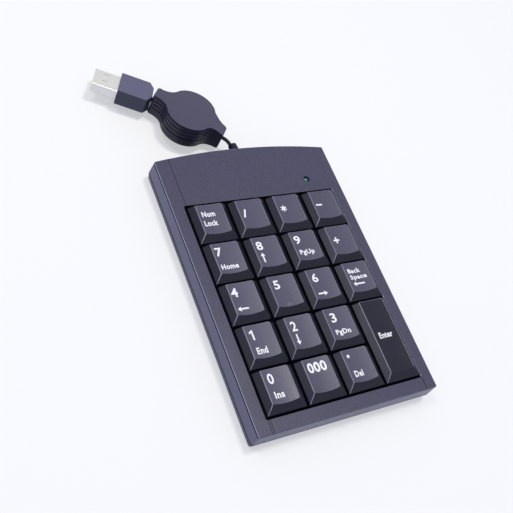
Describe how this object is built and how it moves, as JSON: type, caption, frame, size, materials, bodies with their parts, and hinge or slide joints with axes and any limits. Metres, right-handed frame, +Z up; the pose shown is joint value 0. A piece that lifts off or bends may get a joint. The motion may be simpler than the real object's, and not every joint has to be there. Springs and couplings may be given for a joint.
{
  "type": "numeric keypad",
  "caption": "Wired numeric keypad with low dished keys, swollen sides and a bowed back edge, on a retractable cord with a round reel and a flat metal plug",
  "frame": {"origin": "on the table, under the centre of the casing", "axes": "+Z up, keys face +Z, +Y towards the back edge where the cord leaves, +X to the right of the keys"},
  "size_m": [0.1025, 0.1826, 0.0158],
  "materials": {
    "case_plastic": "fine grain, charcoal",
    "key_plastic": "fine grain, near black",
    "reel_plastic": "fine satin, charcoal",
    "cord_plastic": "smooth, black",
    "plate_plastic": "as moulded, black",
    "foot_rubber": "matt black",
    "dome_rubber": "translucent grey",
    "film": "clear film with printed tracks",
    "board": "green laminate",
    "epoxy": "black epoxy",
    "header_plastic": "white",
    "green_lamp": "tinted green",
    "screw_steel": "zinc plated",
    "spring_steel": "bright strip",
    "plug_steel": "nickel plated, brushed",
    "contact_brass": "gold flashed"
  },
  "bodies": {
    "casing": {"top_cover": "case_plastic", "bottom_cover": "case_plastic", "rubber_feet": "foot_rubber", "case_screws": "screw_steel", "key_guide_plate": "plate_plastic", "dome_mat": "dome_rubber", "membrane": "film", "controller_board": "board", "controller_chip": "epoxy", "cable_header": "header_plastic", "status_led": "green_lamp", "cable_gland": "cord_plastic", "cord_to_reel": "cord_plastic"},
    "key_num_lock": {"key_num_lock": "key_plastic"},
    "key_divide": {"key_divide": "key_plastic"},
    "key_multiply": {"key_multiply": "key_plastic"},
    "key_minus": {"key_minus": "key_plastic"},
    "key_7": {"key_7": "key_plastic"},
    "key_8": {"key_8": "key_plastic"},
    "key_9": {"key_9": "key_plastic"},
    "key_plus": {"key_plus": "key_plastic"},
    "key_4": {"key_4": "key_plastic"},
    "key_5": {"key_5": "key_plastic"},
    "key_6": {"key_6": "key_plastic"},
    "key_backspace": {"key_backspace": "key_plastic"},
    "key_1": {"key_1": "key_plastic"},
    "key_2": {"key_2": "key_plastic"},
    "key_3": {"key_3": "key_plastic"},
    "key_enter": {"key_enter": "key_plastic"},
    "key_0": {"key_0": "key_plastic"},
    "key_000": {"key_000": "key_plastic"},
    "key_point": {"key_point": "key_plastic"},
    "reel": {"reel_top_shell": "reel_plastic", "reel_bottom_shell": "reel_plastic", "reel_screw": "screw_steel", "spool_spring": "spring_steel"},
    "spool": {"reel_spool": "plate_plastic", "wound_cord": "cord_plastic"},
    "plug": {"plug_overmould": "reel_plastic", "plug_shell": "plug_steel", "plug_tongue": "header_plastic", "plug_contacts": "contact_brass", "cord_to_plug": "cord_plastic"}
  },
  "joints": [
    {"name": "press_num_lock", "type": "slide", "parent": "casing", "child": "key_num_lock", "axis": [0, 0, -1], "range_m": [0, 0.003], "stiffness_N_per_m": 180, "springref_m": -0.003, "deforming": ["dome_mat"]},
    {"name": "press_divide", "type": "slide", "parent": "casing", "child": "key_divide", "axis": [0, 0, -1], "range_m": [0, 0.003], "stiffness_N_per_m": 180, "springref_m": -0.003, "deforming": ["dome_mat"]},
    {"name": "press_multiply", "type": "slide", "parent": "casing", "child": "key_multiply", "axis": [0, 0, -1], "range_m": [0, 0.003], "stiffness_N_per_m": 180, "springref_m": -0.003, "deforming": ["dome_mat"]},
    {"name": "press_minus", "type": "slide", "parent": "casing", "child": "key_minus", "axis": [0, 0, -1], "range_m": [0, 0.003], "stiffness_N_per_m": 180, "springref_m": -0.003, "deforming": ["dome_mat"]},
    {"name": "press_7", "type": "slide", "parent": "casing", "child": "key_7", "axis": [0, 0, -1], "range_m": [0, 0.003], "stiffness_N_per_m": 180, "springref_m": -0.003, "deforming": ["dome_mat"]},
    {"name": "press_8", "type": "slide", "parent": "casing", "child": "key_8", "axis": [0, 0, -1], "range_m": [0, 0.003], "stiffness_N_per_m": 180, "springref_m": -0.003, "deforming": ["dome_mat"]},
    {"name": "press_9", "type": "slide", "parent": "casing", "child": "key_9", "axis": [0, 0, -1], "range_m": [0, 0.003], "stiffness_N_per_m": 180, "springref_m": -0.003, "deforming": ["dome_mat"]},
    {"name": "press_plus", "type": "slide", "parent": "casing", "child": "key_plus", "axis": [0, 0, -1], "range_m": [0, 0.003], "stiffness_N_per_m": 180, "springref_m": -0.003, "deforming": ["dome_mat"]},
    {"name": "press_4", "type": "slide", "parent": "casing", "child": "key_4", "axis": [0, 0, -1], "range_m": [0, 0.003], "stiffness_N_per_m": 180, "springref_m": -0.003, "deforming": ["dome_mat"]},
    {"name": "press_5", "type": "slide", "parent": "casing", "child": "key_5", "axis": [0, 0, -1], "range_m": [0, 0.003], "stiffness_N_per_m": 180, "springref_m": -0.003, "deforming": ["dome_mat"]},
    {"name": "press_6", "type": "slide", "parent": "casing", "child": "key_6", "axis": [0, 0, -1], "range_m": [0, 0.003], "stiffness_N_per_m": 180, "springref_m": -0.003, "deforming": ["dome_mat"]},
    {"name": "press_backspace", "type": "slide", "parent": "casing", "child": "key_backspace", "axis": [0, 0, -1], "range_m": [0, 0.003], "stiffness_N_per_m": 180, "springref_m": -0.003, "deforming": ["dome_mat"]},
    {"name": "press_1", "type": "slide", "parent": "casing", "child": "key_1", "axis": [0, 0, -1], "range_m": [0, 0.003], "stiffness_N_per_m": 180, "springref_m": -0.003, "deforming": ["dome_mat"]},
    {"name": "press_2", "type": "slide", "parent": "casing", "child": "key_2", "axis": [0, 0, -1], "range_m": [0, 0.003], "stiffness_N_per_m": 180, "springref_m": -0.003, "deforming": ["dome_mat"]},
    {"name": "press_3", "type": "slide", "parent": "casing", "child": "key_3", "axis": [0, 0, -1], "range_m": [0, 0.003], "stiffness_N_per_m": 180, "springref_m": -0.003, "deforming": ["dome_mat"]},
    {"name": "press_enter", "type": "slide", "parent": "casing", "child": "key_enter", "axis": [0, 0, -1], "range_m": [0, 0.003], "stiffness_N_per_m": 180, "springref_m": -0.003, "deforming": ["dome_mat"]},
    {"name": "press_0", "type": "slide", "parent": "casing", "child": "key_0", "axis": [0, 0, -1], "range_m": [0, 0.003], "stiffness_N_per_m": 180, "springref_m": -0.003, "deforming": ["dome_mat"]},
    {"name": "press_000", "type": "slide", "parent": "casing", "child": "key_000", "axis": [0, 0, -1], "range_m": [0, 0.003], "stiffness_N_per_m": 180, "springref_m": -0.003, "deforming": ["dome_mat"]},
    {"name": "press_point", "type": "slide", "parent": "casing", "child": "key_point", "axis": [0, 0, -1], "range_m": [0, 0.003], "stiffness_N_per_m": 180, "springref_m": -0.003, "deforming": ["dome_mat"]},
    {"name": "reel_slide", "type": "slide", "parent": "casing", "child": "reel", "axis": [-0.7604, 0.6494, 0], "range_m": [0, 0.25], "stiffness_N_per_m": 3, "springref_m": -0.1, "deforming": ["cord_to_reel"]},
    {"name": "plug_slide", "type": "slide", "parent": "reel", "child": "plug", "axis": [-0.8796, 0.4756, 0], "range_m": [0, 0.255], "deforming": ["cord_to_plug"]},
    {"name": "spool_spin", "type": "hinge", "parent": "reel", "child": "spool", "pos_m": [-0.01805, 0.0855, 0.00265], "axis": [0.1239, 0.1451, 0.9816], "range_deg": [-5, 1742], "deforming": ["spool_spring"]}
  ],
  "couplings": [
    {"joint": "plug_slide", "follows": "reel_slide", "ratio": 1},
    {"joint": "spool_spin", "follows": "reel_slide", "rad_per_m": 121.21}
  ]
}
